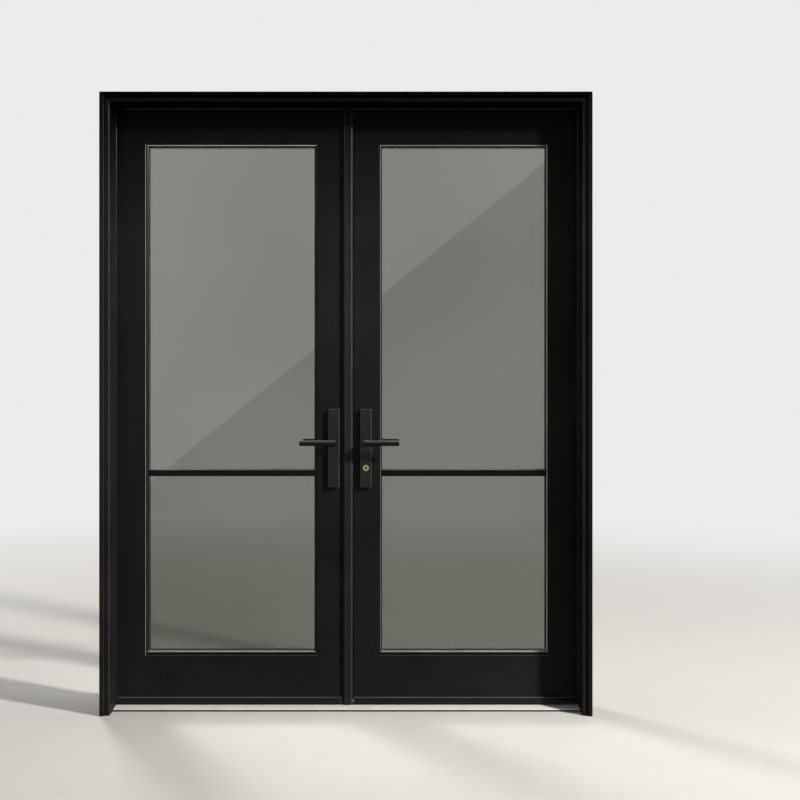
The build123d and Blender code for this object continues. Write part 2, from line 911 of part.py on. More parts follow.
def lever(leaf, label, outward):
    """A round lever with a mitred corner that points away from the meeting line, and its bearing neck."""
    face = leaf_front if outward < 0 else leaf_back
    collar_front = face + outward * (plate_thickness + collar_height)
    hub_start = collar_front + outward * lever_gap
    bar_y = face + outward * (plate_thickness + lever_standoff)
    neck_end = collar_front - outward * (neck_depth - lever_gap)
    tip_x = leaf.spindle_x + leaf.side * lever_reach
    hub = Plane(origin=(leaf.spindle_x, hub_start, lever_height), x_dir=(1, 0, 0), z_dir=(0, outward, 0))
    with BuildPart() as handle:
        with BuildLine():
            Polyline(
                (leaf.spindle_x, hub_start, lever_height),
                (leaf.spindle_x, bar_y, lever_height),
                (tip_x, bar_y, lever_height),
            )
        with BuildSketch(hub):
            Circle(lever_radius)
        sweep(transition=Transition.RIGHT)
        tip = handle.faces().sort_by_distance((tip_x, bar_y, lever_height))[0]
        fillet(tip.edges(), radius=lever_tip_radius)
        through(leaf.spindle_x, lever_height, hub_start, neck_end, neck_radius)
        half = spindle_side / 2
        block(
            leaf.spindle_x - half,
            leaf.spindle_x + half,
            neck_end,
            neck_end + outward * spindle_grip,
            lever_height - half,
            lever_height + half,
            mode=Mode.SUBTRACT,
        )
    save(handle, f"{leaf.name}_{label}")


def spindle(leaf):
    """The square bar that joins a leaf's two levers."""
    inset = plate_thickness + collar_height - (neck_depth - lever_gap) + spindle_grip
    half = spindle_side / 2
    with BuildPart() as bar:
        block(
            leaf.spindle_x - half,
            leaf.spindle_x + half,
            leaf_front - inset,
            leaf_back + inset,
            lever_height - half,
            lever_height + half,
        )
    save(bar, f"{leaf.name}_spindle")


# Locks


def passive_lock_case():
    """The passive leaf's lock case, with the hole for the spindle."""
    near = passive.free_edge
    with BuildPart() as case:
        block(
            near,
            near - faceplate_thickness - case_depth,
            leaf_middle - case_thickness / 2,
            leaf_middle + case_thickness / 2,
            lever_height - passive_case_reach,
            lever_height + passive_case_reach,
        )
        spindle_hole(passive)
    save(case, "passive_lock_case")


def bolt_channels(near, far):
    """The slots that guide the latch and the deadbolt, between two places along X."""
    for depth, height, z, length in (
        (latch_depth, latch_height, lever_height, latch_length),
        (deadbolt_depth, deadbolt_height, key_height, deadbolt_length),
    ):
        half_depth = depth / 2 + bolt_side_clearance
        half_height = height / 2 + bolt_side_clearance
        end = min(far, active.free_edge + bolt_inset + length + bolt_side_clearance)
        block(
            near,
            end,
            leaf_middle - half_depth,
            leaf_middle + half_depth,
            z - half_height,
            z + half_height,
            mode=Mode.SUBTRACT,
        )


def active_lock_case():
    """The active leaf's lock case, with the bolts' channels and the spindle's and cylinder's holes."""
    near = active.free_edge + faceplate_thickness
    with BuildPart() as case:
        block(
            near,
            near + case_depth,
            leaf_middle - case_thickness / 2,
            leaf_middle + case_thickness / 2,
            lever_height - active_case_below,
            lever_height + active_case_above,
        )
        bolt_channels(near, near + case_depth)
        spindle_hole(active)
        cylinder_hole()
    save(case, "active_lock_case")


def active_faceplate():
    """The plate on the active leaf's edge that the bolts come out of."""
    near = active.free_edge
    far = near + faceplate_thickness
    with BuildPart() as plate:
        block(
            near,
            far,
            leaf_middle - faceplate_width / 2,
            leaf_middle + faceplate_width / 2,
            lever_height - active_case_below - faceplate_margin,
            lever_height + active_case_above + faceplate_margin,
        )
        bolt_channels(near, far)
    save(plate, "active_faceplate")


def latch_bolt():
    """The bevelled latch, whose slope faces the closing side."""
    tip = active.free_edge + bolt_inset
    with BuildPart() as latch:
        block(
            tip,
            tip + latch_length,
            leaf_middle - latch_depth / 2,
            leaf_middle + latch_depth / 2,
            lever_height - latch_height / 2,
            lever_height + latch_height / 2,
        )
        edge = latch.edges().filter_by(Axis.Z).group_by(Axis.X)[0].sort_by(Axis.Y)[0]
        chamfer(edge, length=latch_bevel)
    save(latch, "latch_bolt")


def deadbolt():
    """The square-ended bolt that the key or the thumbturn throws."""
    tip = active.free_edge + bolt_inset
    with BuildPart() as bolt:
        block(
            tip,
            tip + deadbolt_length,
            leaf_middle - deadbolt_depth / 2,
            leaf_middle + deadbolt_depth / 2,
            key_height - deadbolt_height / 2,
            key_height + deadbolt_height / 2,
        )
        fillet(bolt.faces().sort_by(Axis.X)[0].edges(), radius=bolt_inset)
    save(bolt, "deadbolt")


def key_cylinder():
    """The round housing that the key plug turns in."""
    front = plate_front - cylinder_proud
    with BuildPart() as housing:
        through(active.spindle_x, key_height, front, leaf_middle, cylinder_radius)
        rim = housing.edges().filter_by(GeomType.CIRCLE).sort_by(Axis.Y)[0]
        fillet(rim, radius=cylinder_proud / 3)
        plug_hole = plug_radius + running_clearance
        through(active.spindle_x, key_height, front, leaf_middle, plug_hole, mode=Mode.SUBTRACT)
    save(housing, "key_cylinder")


def key_plug():
    """The plug with its keyway, and the flat tail that runs through to the thumbturn."""
    front = plate_front - cylinder_proud - plug_proud
    tail_end = leaf_back + plate_thickness / 2
    with BuildPart() as plug:
        through(active.spindle_x, key_height, front, leaf_middle - pocket_clearance, plug_radius)
        block(
            active.spindle_x - keyway_width / 2,
            active.spindle_x + keyway_width / 2,
            front,
            front + keyway_depth,
            key_height - keyway_height / 2,
            key_height + keyway_height / 2,
            mode=Mode.SUBTRACT,
        )
        block(
            active.spindle_x - tail_thickness / 2,
            active.spindle_x + tail_thickness / 2,
            leaf_middle - pocket_clearance,
            tail_end,
            key_height - tail_width / 2,
            key_height + tail_width / 2,
        )
    save(plug, "key_plug")


def thumbturn():
    """The grip on the inside plate that throws the deadbolt, with its neck and the slot for the tail."""
    collar_start = plate_back + lever_gap
    collar_front = collar_start + turn_collar_height
    with BuildPart() as turn:
        through(active.spindle_x, key_height, leaf_back + lever_gap, collar_start, turn_neck_radius)
        through(active.spindle_x, key_height, collar_start, collar_front, turn_collar_radius)
        base = Plane(origin=(active.spindle_x, collar_front, key_height), x_dir=(1, 0, 0), z_dir=(0, 1, 0))
        with BuildSketch(base):
            RectangleRounded(turn_grip_width, turn_grip_height, turn_grip_radius)
        extrude(amount=turn_grip_reach)
        fillet(turn.faces().sort_by(Axis.Y)[-1].edges(), radius=frame_arris_radius)
        block(
            active.spindle_x - tail_thickness / 2,
            active.spindle_x + tail_thickness / 2,
            leaf_back,
            leaf_back + plate_thickness / 2,
            key_height - tail_width / 2,
            key_height + tail_width / 2,
            mode=Mode.SUBTRACT,
        )
    save(turn, "thumbturn")


def shoot_bolt(label, start, direction):
    """A round bolt along Z: start is its tip and direction points out of the leaf."""
    with BuildPart() as bolt:
        upright(shoot_x, leaf_middle, start, start - direction * shoot_length, shoot_radius)
        ends = bolt.edges().filter_by(GeomType.CIRCLE).sort_by(Axis.Z)
        chamfer(ends[-1 if direction > 0 else 0], length=shoot_chamfer)
    save(bolt, label)


side_jamb("left_jamb", passive)
side_jamb("right_jamb", active)
head_jamb()
stop_strips()
side_weatherstrip("left_weatherstrip", passive)
side_weatherstrip("right_weatherstrip", active)
head_weatherstrip()
sill_base()
sill_deck()
sill_cap()
shoot_strikes()
hinge_halves("frame_hinges", (passive, active), True)
hinge_pins()

for one in (passive, active):
    hinge_stile(one)
    rail(one, "top_rail", glazing_top, leaf_top)
    rail(one, "bottom_rail", leaf_bottom, glazing_bottom)
    glazing_beads(one, "outer_beads", leaf_front, 1)
    glazing_beads(one, "inner_beads", leaf_back, -1)
    glazing_bars(one)
    panes(one)
    pane_spacer(one)
    sweep_seal(one)
    hinge_halves(f"{one.name}_leaf_hinges", (one,), False)
    handle_plate(one, "outer_plate", -1, one is active)
    handle_plate(one, "inner_plate", 1, one is active)
    lever(one, "outer_lever", -1)
    lever(one, "inner_lever", 1)
    spindle(one)

passive_lock_stile()
active_lock_stile()
drip_strip(passive, -stop_half + drip_end_gap, passive.free_edge - astragal_flange_lap)
drip_strip(active, active.free_edge + drip_end_gap, stop_half - drip_end_gap)
astragal()
astragal_strike()
meeting_seal()
passive_lock_case()
active_lock_case()
active_faceplate()
latch_bolt()
deadbolt()
key_cylinder()
key_plug()
thumbturn()
shoot_bolt("top_shoot_bolt", leaf_top - bolt_inset, 1)
shoot_bolt("bottom_shoot_bolt", leaf_bottom + bolt_inset, -1)
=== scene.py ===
import math

import bmesh
import bpy
from mathutils import Matrix, Vector


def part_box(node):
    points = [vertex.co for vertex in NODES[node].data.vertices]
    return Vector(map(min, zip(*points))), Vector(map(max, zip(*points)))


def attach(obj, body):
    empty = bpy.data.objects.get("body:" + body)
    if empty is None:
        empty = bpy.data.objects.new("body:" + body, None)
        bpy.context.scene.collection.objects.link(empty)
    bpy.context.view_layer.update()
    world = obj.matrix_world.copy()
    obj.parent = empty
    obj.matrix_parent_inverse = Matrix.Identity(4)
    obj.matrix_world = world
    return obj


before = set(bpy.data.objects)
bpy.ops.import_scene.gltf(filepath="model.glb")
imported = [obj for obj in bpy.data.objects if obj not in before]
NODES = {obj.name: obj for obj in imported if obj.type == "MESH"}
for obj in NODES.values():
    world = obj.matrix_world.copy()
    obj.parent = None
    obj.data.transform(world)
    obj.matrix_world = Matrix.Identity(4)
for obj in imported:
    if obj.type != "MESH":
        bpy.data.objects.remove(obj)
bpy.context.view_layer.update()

# Lengths are in metres. Front is -Y, the street's side of the doors, and up is +Z.


# Camera: level, a little right of the doors' middle, at the photograph's distance

CAMERA_PLACE = (0.173, -4.2135, 1.2595)
CAMERA_SENSOR = 36.0
CAMERA_LENS = 47.43
CAMERA_SHIFT = (0.0125, -0.00625)
CAMERA_REACH = 200.0


def stand_camera():
    """The camera that took the photograph, with its picture centre shifted by a few pixels."""
    data = bpy.data.cameras.new("street_camera")
    data.sensor_width = CAMERA_SENSOR
    data.lens = CAMERA_LENS
    data.shift_x, data.shift_y = CAMERA_SHIFT
    data.clip_end = CAMERA_REACH
    camera = bpy.data.objects.new("street_camera", data)
    camera.location = CAMERA_PLACE
    camera.rotation_euler = (math.radians(90), 0, 0)
    bpy.context.scene.collection.objects.link(camera)
    bpy.context.scene.camera = camera


# Studio

SURROUND = (0.84, 0.835, 0.82, 1)
SKYLIGHT = (0.95, 0.97, 1.0, 1)
SKYLIGHT_STRENGTH = 0.08

FLOOR_RADIUS = 60.0
FLOOR_TONE = (0.34, 0.335, 0.326, 1)
FLOOR_ROUGHNESS = 0.9
FLOOR_SPECULAR = 0.1
FADE_START = 1.8
FADE_END = 7.0

DOORS_MIDDLE = (0, 0, 1.2)


def soft_lamp(name, place, aim, size, power, colour, lean=0, lights=True, mirrors=True):
    """A rectangular soft lamp at one place, aimed at another and leaning by some degrees."""
    data = bpy.data.lights.new(name, "AREA")
    data.shape = "RECTANGLE"
    data.size, data.size_y = size
    data.energy = power
    data.color = colour
    lamp = bpy.data.objects.new(name, data)
    lamp.location = place
    turn = (Vector(aim) - Vector(place)).to_track_quat("-Z", "Y").to_matrix()
    lamp.rotation_euler = (turn @ Matrix.Rotation(math.radians(lean), 3, "Z")).to_euler()
    lamp.visible_camera = False
    lamp.visible_transmission = False
    lamp.visible_diffuse = lights
    lamp.visible_glossy = mirrors
    bpy.context.scene.collection.objects.link(lamp)


def hang_lamps():
    """A warm key lamp, a leaning sheet that only the glass mirrors, a light from above and two from the room."""
    soft_lamp(
        "key_lamp", place=(5.7, -3.4, 5.0), aim=DOORS_MIDDLE, size=(0.5, 0.5), power=1400, colour=(1.0, 0.965, 0.92)
    )
    soft_lamp(
        "glass_lamp", place=(-1.37, -6.5, 3.36), aim=(-1.37, 0, 3.36), size=(7.6, 3.5), power=92,
        colour=(0.95, 0.97, 1.0), lean=39, lights=False,
    )
    soft_lamp(
        "sky_lamp", place=(0.6, -3.0, 5.4), aim=(0, -0.4, 0.6), size=(5.0, 1.6), power=45, colour=(0.96, 0.98, 1.0)
    )
    soft_lamp(
        "room_lamp", place=(-3.2, 4.5, 4.6), aim=DOORS_MIDDLE, size=(1.2, 1.2), power=400, colour=(1.0, 0.98, 0.95)
    )
    soft_lamp(
        "room_fill_lamp", place=(3.6, 6.0, 2.6), aim=DOORS_MIDDLE, size=(3.0, 3.0), power=190,
        colour=(0.97, 0.98, 1.0), mirrors=False,
    )


def pale_world():
    """An even pale surround: what the camera, gloss and glass see is pale, and what lights the doors is softer."""
    world = bpy.data.worlds.new("pale_surround")
    bpy.context.scene.world = world
    world.use_nodes = True
    tree = world.node_tree
    tree.nodes.clear()
    link = tree.links.new
    rays = tree.nodes.new("ShaderNodeLightPath").outputs
    seen = rays["Is Camera Ray"]
    for ray in ("Is Glossy Ray", "Is Transmission Ray"):
        either = tree.nodes.new("ShaderNodeMath")
        either.operation = "MAXIMUM"
        link(seen, either.inputs[0])
        link(rays[ray], either.inputs[1])
        seen = either.outputs[0]
    mix = tree.nodes.new("ShaderNodeMixShader")
    link(seen, mix.inputs["Fac"])
    for socket, colour, strength in ((1, SKYLIGHT, SKYLIGHT_STRENGTH), (2, SURROUND, 1.0)):
        glow = tree.nodes.new("ShaderNodeBackground")
        glow.inputs["Color"].default_value = colour
        glow.inputs["Strength"].default_value = strength
        link(glow.outputs[0], mix.inputs[socket])
    out = tree.nodes.new("ShaderNodeOutputWorld")
    link(mix.outputs[0], out.inputs["Surface"])


def floor_paint():
    """Plain pale paint that fades into the surround away from the doors."""
    material = bpy.data.materials.new("pale_floor")
    material.use_nodes = True
    tree = material.node_tree
    link = tree.links.new
    shader = tree.nodes["Principled BSDF"]
    shader.inputs["Base Color"].default_value = FLOOR_TONE
    shader.inputs["Roughness"].default_value = FLOOR_ROUGHNESS
    shader.inputs["Specular IOR Level"].default_value = FLOOR_SPECULAR
    place = tree.nodes.new("ShaderNodeTexCoord")
    reach = tree.nodes.new("ShaderNodeVectorMath")
    reach.operation = "LENGTH"
    fade = tree.nodes.new("ShaderNodeMapRange")
    fade.interpolation_type = "SMOOTHSTEP"
    fade.inputs["From Min"].default_value = FADE_START
    fade.inputs["From Max"].default_value = FADE_END
    pale = tree.nodes.new("ShaderNodeEmission")
    pale.inputs["Color"].default_value = SURROUND
    mix = tree.nodes.new("ShaderNodeMixShader")
    link(place.outputs["Object"], reach.inputs[0])
    link(reach.outputs["Value"], fade.inputs["Value"])
    link(fade.outputs["Result"], mix.inputs["Fac"])
    link(shader.outputs[0], mix.inputs[1])
    link(pale.outputs[0], mix.inputs[2])
    link(mix.outputs[0], tree.nodes["Material Output"].inputs["Surface"])
    return material


def add_piece(name, bm, finish):
    """A new object in the scene from a finished shape, in one finish."""
    mesh = bpy.data.meshes.new(name)
    bm.to_mesh(mesh)
    bm.free()
    mesh.materials.append(finish)
    piece = bpy.data.objects.new(name, mesh)
    bpy.context.scene.collection.objects.link(piece)
    return piece


def lay_floor():
    """A plain pale floor that keeps the doors' shadow near them and melts into the surround further off."""
    bm = bmesh.new()
    bmesh.ops.create_circle(bm, cap_ends=True, segments=64, radius=FLOOR_RADIUS)
    floor = add_piece("floor", bm, floor_paint())


# Finishes

# The sockets of a mix node that is set to colours
MIX_SHARE, MIX_FIRST, MIX_SECOND, MIX_RESULT = 0, 6, 7, 2

# The largest part of a normal, by which a flat and a rounded arris are told apart
FLAT_PART, ROUND_PART = 0.985, 0.82


class Finish:
    """A material under the brush: its node tree, its shader and the doors' own coordinates."""

    def __init__(self, name, specular=0.5, metallic=0.0):
        self.material = bpy.data.materials.new(name)
        self.material.use_nodes = True
        self.tree = self.material.node_tree
        self.shader = self.tree.nodes["Principled BSDF"]
        self.shader.inputs["Specular IOR Level"].default_value = specular
        self.shader.inputs["Metallic"].default_value = metallic
        coordinates = self.tree.nodes.new("ShaderNodeTexCoord")
        self.place = coordinates.outputs["Object"]
        self.facing = coordinates.outputs["Normal"]

    def node(self, kind, **inputs):
        """A new node with these input sockets linked or set."""
        made = self.tree.nodes.new(kind)
        for key, value in inputs.items():
            self.feed(made, key.replace("_", " "), value)
        return made

    def feed(self, made, key, value):
        """Links or sets one input socket."""
        if isinstance(value, bpy.types.NodeSocket):
            self.tree.links.new(value, made.inputs[key])
        else:
            made.inputs[key].default_value = value

    def noise(self, scale, stretch=(1, 1, 1), detail=3.0, rough=0.5):
        """Noise of that many grains to the metre, stretched along the axes."""
        mapping = self.node("ShaderNodeMapping", Vector=self.place, Scale=stretch)
        made = self.node("ShaderNodeTexNoise", Vector=mapping.outputs[0], Scale=scale, Detail=detail, Roughness=rough)
        return made.outputs["Fac"]

    def spread(self, value, low, high, to_low=0.0, to_high=1.0):
        """A value between low and high, spread over another range and held within it."""
        made = self.node(
            "ShaderNodeMapRange", Value=value, From_Min=low, From_Max=high, To_Min=to_low, To_Max=to_high
        )
        return made.outputs["Result"]

    def math(self, operation, a, b=0.0):
        """One sum done on one or two values."""
        made = self.tree.nodes.new("ShaderNodeMath")
        made.operation = operation
        for key, value in enumerate((a, b)):
            self.feed(made, key, value)
        return made.outputs[0]

    def times(self, a, b):
        """The product of two values."""
        return self.math("MULTIPLY", a, b)

    def blend(self, share, first, second):
        """Two colours mixed by a share of the second."""
        made = self.tree.nodes.new("ShaderNodeMix")
        made.data_type = "RGBA"
        self.feed(made, MIX_SHARE, share)
        for key, colour in ((MIX_FIRST, first), (MIX_SECOND, second)):
            self.feed(made, key, (*colour, 1) if isinstance(colour, tuple) else colour)
        return made.outputs[MIX_RESULT]

    def along(self, axis):
        """The doors' own coordinate along one axis."""
        return self.node("ShaderNodeSeparateXYZ", Vector=self.place).outputs[axis]

    def upward(self):
        """How far the surface faces up: 1 where it is level and 0 where it is upright."""
        return self.node("ShaderNodeSeparateXYZ", Vector=self.facing).outputs["Z"]

    def rounds(self):
        """1 on the rounded arrises of an upright, square-cut piece and 0 on its flats."""
        ways = self.node("ShaderNodeSeparateXYZ", Vector=self.facing).outputs
        x, y, z = (self.math("ABSOLUTE", way) for way in ways)
        return self.spread(self.math("MAXIMUM", self.math("MAXIMUM", x, y), z), FLAT_PART, ROUND_PART)

    def clouds(self, scale, detail=4.0):
        """Soft clouds from 0 to 1, of that many grains to the metre."""
        return self.spread(self.noise(scale, detail=detail), 0.35, 0.65)

    def patches(self, least):
        """Broad patches from that share up to 1, where wear and painted highlight are less or more."""
        return self.spread(self.noise(6.0, detail=5.0, rough=0.6), 0.3, 0.65, least, 1.0)

    def rub_and_highlight(self, tone, highlight_and_wear):
        """A tone with its rounded arrises lightened by wear and painted highlight, here more and there less."""
        return self.blend(self.times(self.rounds(), self.patches(0.55)), tone, highlight_and_wear)

    def bump(self, value, depth):
        """Relief of that depth, over any relief that is there already."""
        made = self.node("ShaderNodeBump", Height=value, Distance=depth, Strength=1.0)
        normal = self.shader.inputs["Normal"]
        if normal.is_linked:
            self.tree.links.new(normal.links[0].from_socket, made.inputs["Normal"])
        self.tree.links.new(made.outputs[0], normal)

    def colour(self, value):
        """The colour of the surface."""
        self.feed(self.shader, "Base Color", value)

    def gloss(self, value):
        """The roughness of the surface: 0 is a mirror."""
        self.feed(self.shader, "Roughness", value)

    def smudges(self, scale, smooth, dull, rough=0.5):
        """Roughness that wanders from smooth to dull, in smudges of that many grains to the metre."""
        self.gloss(self.spread(self.noise(scale, detail=5.0, rough=rough), 0.3, 0.7, smooth, dull))


# The heights between which painted shade under the head deepens: on flats, on arrises with wear and painted highlight,
# and on edges with painted highlight
FLAT_SHADE = (1.9, 2.35)
RUB_SHADE = (2.38, 2.41)
EDGE_SHADE = (2.39, 2.41)
FULL_SHADE = (0.0008, 0.0008, 0.0008)
EDGE_SHADE_TONE = (0.002, 0.002, 0.002)

# The height where dust from the paving ends, and the height where it is thickest
DUST_HEIGHTS = (0.22, 0.02)
PAVING_DUST = (0.050, 0.047, 0.041)

# Rounded arrises of paint are lightened towards this colour: wear and painted highlight
PAINTED_HIGHLIGHT_AND_WEAR = (0.05, 0.05, 0.05)


def brushed_paint(name, along, tones, specular, highlight_and_wear=PAINTED_HIGHLIGHT_AND_WEAR):
    """Satin black paint over wood: stipple, faint grain along the board, dust low down, arrises lightened by wear and
    painted highlight, and painted shade darkening it to full black under the head.
    """
    finish = Finish(name, specular)
    height = finish.along("Z")
    # Painted shade: the flats darken towards full black below the head
    shade = finish.spread(height, *FLAT_SHADE, 0.0, 0.93)
    tone = finish.blend(shade, finish.blend(finish.clouds(2.2), *tones), FULL_SHADE)
    speckle = finish.spread(finish.noise(160.0, detail=6.0, rough=0.7), 0.42, 0.72)
    dust = finish.times(finish.times(finish.spread(height, *DUST_HEIGHTS), speckle), 0.25)
    rubbed_and_highlighted = finish.rub_and_highlight(finish.blend(dust, tone, PAVING_DUST), highlight_and_wear)
    # Painted shade: the arrises darken to full black just under the head
    finish.colour(finish.blend(finish.spread(height, *RUB_SHADE, 0.0, 0.9), rubbed_and_highlighted, FULL_SHADE))
    finish.smudges(14.0, 0.36, 0.52, rough=0.6)
    grain = {"X": (0.05, 1, 1), "Z": (1, 1, 0.05)}[along]
    finish.bump(finish.noise(520.0, detail=2.0), 0.00010)
    finish.bump(finish.noise(150.0, grain, detail=4.0, rough=0.6), 0.00012)
    return finish.material


def highlighted_edge(name, dark, light, specular):
    """Paint along an edge lightened by wear and painted highlight, more in some places than in others, with painted
    shade under the head.
    """
    finish = Finish(name, specular)
    wear = finish.spread(finish.noise(7.0, detail=6.0, rough=0.65), 0.35, 0.7)
    shade = finish.spread(finish.along("Z"), *EDGE_SHADE, 0.0, 0.95)
    # Painted shade: the edges darken just under the head
    finish.colour(finish.blend(shade, finish.blend(wear, dark, light), EDGE_SHADE_TONE))
    finish.gloss(finish.spread(wear, 0, 1, 0.36, 0.26))
    return finish.material


def extrusion(name, dark, light):
    """A smooth black extrusion with a faint orange peel: the finish, and its tone for more to go over."""
    finish = Finish(name, specular=0.04)
    finish.smudges(40.0, 0.28, 0.42)
    finish.bump(finish.noise(300.0, detail=2.0), 0.00005)
    return finish, finish.blend(finish.clouds(5.0), dark, light)


def plain_strip(name):
    """The black extrusion as it comes."""
    finish, tone = extrusion(name, (0.0035, 0.0035, 0.0035), (0.0055, 0.0055, 0.0055))
    finish.colour(tone)
    return finish.material


# The height of the bar's flat face, and how soon the pale dust and painted highlight above its arris are full
BAR_FACE = 0.022
DUST_AND_HIGHLIGHT_EDGE = 0.0006


def dusty_highlighted_bar(name):
    """The black extrusion, pale on the slope above the bar's upper arris: dust and a painted highlight."""
    low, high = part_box("active_glazing_bars")
    arris = (low[2] + high[2]) / 2 + BAR_FACE / 2
    finish, tone = extrusion(name, (0.0025, 0.0025, 0.0025), (0.0040, 0.0040, 0.0040))
    ledge = finish.spread(finish.along("Z"), arris, arris + DUST_AND_HIGHLIGHT_EDGE)
    grit_and_highlight = finish.spread(finish.noise(30.0, detail=6.0, rough=0.7), 0.3, 0.7, 0.55, 1.0)
    # Dust and painted highlight: the upward slope above the upper arris made pale
    finish.colour(finish.blend(finish.times(ledge, grit_and_highlight), tone, (0.085, 0.083, 0.078)))
    return finish.material


# How far from its arris a painted highlight line begins to fade, and how far off it has gone
LINE_HALF, LINE_FADED = 0.0012, 0.0018
PAINTED_ARRIS_HIGHLIGHT = (0.40, 0.40, 0.39)
BEAD_DUST_AND_HIGHLIGHT = (0.15, 0.147, 0.14)

# How far each bead's bright arris lies from the outside of the beads, and how strong its painted highlight is on each
# side. The lowest bead's inner arris lies a little further in than the others'.
INNER_ARRIS = 0.008
LOWEST_ARRIS_RISE = 0.006
PASSIVE_LINES = {"left": (0.0, 1.0), "top": (INNER_ARRIS, 0.9), "foot": (0.0, 0.15)}
ACTIVE_LINES = {"left": (INNER_ARRIS, 0.2), "right": (INNER_ARRIS, 1.0), "top": (INNER_ARRIS, 0.5), "foot": (0.0, 0.15)}


def highlighted_bead(name, beads, lines):
    """The black extrusion with painted highlights along some arrises, and dust with painted highlight on the slope of
    the lowest bead.
    """
    low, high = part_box(beads)
    finish, tone = extrusion(name, (0.0030, 0.0030, 0.0030), (0.0048, 0.0048, 0.0048))
    across, up = finish.along("X"), finish.along("Z")
    off = {
        "left": finish.math("SUBTRACT", across, low[0]),
        "right": finish.math("SUBTRACT", high[0], across),
        "top": finish.math("SUBTRACT", high[2], up),
        "foot": finish.math("SUBTRACT", up, low[2]),
    }
    rubbed_and_highlighted = 0.0
    for side, (inset, share) in lines.items():
        away = finish.math("ABSOLUTE", finish.math("SUBTRACT", off[side], inset))
        line = finish.spread(away, LINE_HALF, LINE_FADED, share, 0.0)
        for end in (other for other in off if other != side):
            mitre = inset + (LOWEST_ARRIS_RISE if end == "foot" and inset else 0.0)
            line = finish.times(line, finish.math("GREATER_THAN", off[end], mitre - LINE_HALF))
        rubbed_and_highlighted = finish.math("MAXIMUM", rubbed_and_highlighted, line)
    patches = finish.patches(0.6)
    # Painted highlights along the arrises, stronger on some sides than on others
    highlight_and_wear = finish.blend(finish.times(rubbed_and_highlighted, patches), tone, PAINTED_ARRIS_HIGHLIGHT)
    # Dust and painted highlight on the upward slopes
    upward = finish.upward()
    slope = finish.times(finish.spread(upward, 0.3, 0.5), finish.spread(upward, 0.95, 0.85))
    finish.colour(finish.blend(finish.times(slope, patches), highlight_and_wear, BEAD_DUST_AND_HIGHLIGHT))
    return finish.material


def powder_coat(name, dark, light, specular, highlight_and_wear, sheen):
    """Fine-textured black powder coat with arrises lightened by wear and painted highlight."""
    finish = Finish(name, specular)
    finish.colour(finish.rub_and_highlight(finish.blend(finish.clouds(9.0), dark, light), highlight_and_wear))
    finish.smudges(30.0, sheen, sheen * 1.5)
    finish.bump(finish.noise(1400.0, detail=2.0), 0.00006)
    return finish.material


def handled_black(name):
    """Gloss black of the levers, paler along the upper side: polishing where hands rest, and a painted highlight."""
    finish = Finish(name, specular=0.13)
    patches = finish.spread(finish.noise(25.0, (0.3, 1, 1), detail=5.0, rough=0.6), 0.3, 0.7, 0.5, 1.0)
    # Wear and painted highlight: the upper side made paler
    polish_and_highlight = finish.times(finish.spread(finish.upward(), 0.35, 0.8), patches)
    tone = finish.blend(finish.clouds(9.0), (0.0008, 0.0008, 0.0008), (0.0016, 0.0016, 0.0016))
    finish.colour(finish.blend(polish_and_highlight, tone, (0.075, 0.075, 0.074)))
    finish.smudges(30.0, 0.15, 0.24)
    finish.bump(finish.noise(1400.0, detail=2.0), 0.00004)
    return finish.material


def rubber(name):
    """Dull black rubber with a talc-like bloom."""
    finish = Finish(name, specular=0.25)
    bloom = finish.spread(finish.noise(60.0, detail=6.0, rough=0.7), 0.45, 0.75)
    finish.colour(finish.blend(bloom, (0.010, 0.010, 0.010), (0.030, 0.030, 0.029)))
    finish.gloss(finish.spread(bloom, 0, 1, 0.65, 0.85))
    finish.bump(finish.noise(700.0, detail=3.0), 0.00008)
    return finish.material


def glossy_rubber(name):
    """Smooth black rubber skin that catches the light in a line."""
    finish = Finish(name, specular=0.25)
    bloom = finish.spread(finish.noise(30.0, detail=6.0, rough=0.7), 0.45, 0.75)
    finish.colour(finish.blend(bloom, (0.004, 0.004, 0.004), (0.012, 0.012, 0.0118)))
    finish.gloss(finish.spread(bloom, 0, 1, 0.20, 0.34))
    finish.bump(finish.noise(500.0, detail=3.0), 0.00002)
    return finish.material


def dull_plastic(name, dark, light):
    """Moulded plastic with a fine matt grain."""
    finish = Finish(name, specular=0.35)
    finish.colour(finish.blend(finish.clouds(25.0, detail=5.0), dark, light))
    finish.smudges(25.0, 0.5, 0.68)
    finish.bump(finish.noise(900.0, detail=3.0), 0.00008)
    return finish.material


def mill_aluminium(name):
    """Aluminium as it leaves the die: lines drawn along the sill, small scratches and grey dirt."""
    finish = Finish(name, metallic=0.25)
    lines = finish.noise(900.0, (0.004, 1, 1), detail=3.0, rough=0.6)
    scratches = finish.spread(finish.noise(220.0, (0.05, 1, 1), detail=6.0, rough=0.7), 0.62, 0.68)
    dirt = finish.spread(finish.noise(18.0, detail=8.0, rough=0.7), 0.5, 0.75)
    tone = finish.blend(finish.spread(lines, 0.3, 0.7), (0.56, 0.545, 0.525), (0.64, 0.63, 0.61))
    soiled = finish.blend(finish.times(dirt, 0.5), tone, (0.36, 0.34, 0.31))
    finish.colour(finish.blend(finish.times(scratches, 0.35), soiled, (0.80, 0.79, 0.77)))
    finish.gloss(finish.spread(dirt, 0, 1, 0.34, 0.55))
    finish.bump(lines, 0.00003)
    return finish.material


def brushed_steel(name, along):
    """Satin steel with fine lines along one axis."""
    finish = Finish(name, metallic=1.0)
    stretch = {"X": (0.02, 1, 1), "Z": (1, 1, 0.02)}[along]
    lines = finish.noise(2500.0, stretch, detail=3.0, rough=0.6)
    finish.colour(finish.blend(finish.spread(lines, 0.3, 0.7), (0.50, 0.50, 0.50), (0.62, 0.62, 0.61)))
    finish.smudges(60.0, 0.26, 0.42)
    finish.bump(lines, 0.00002)
    return finish.material


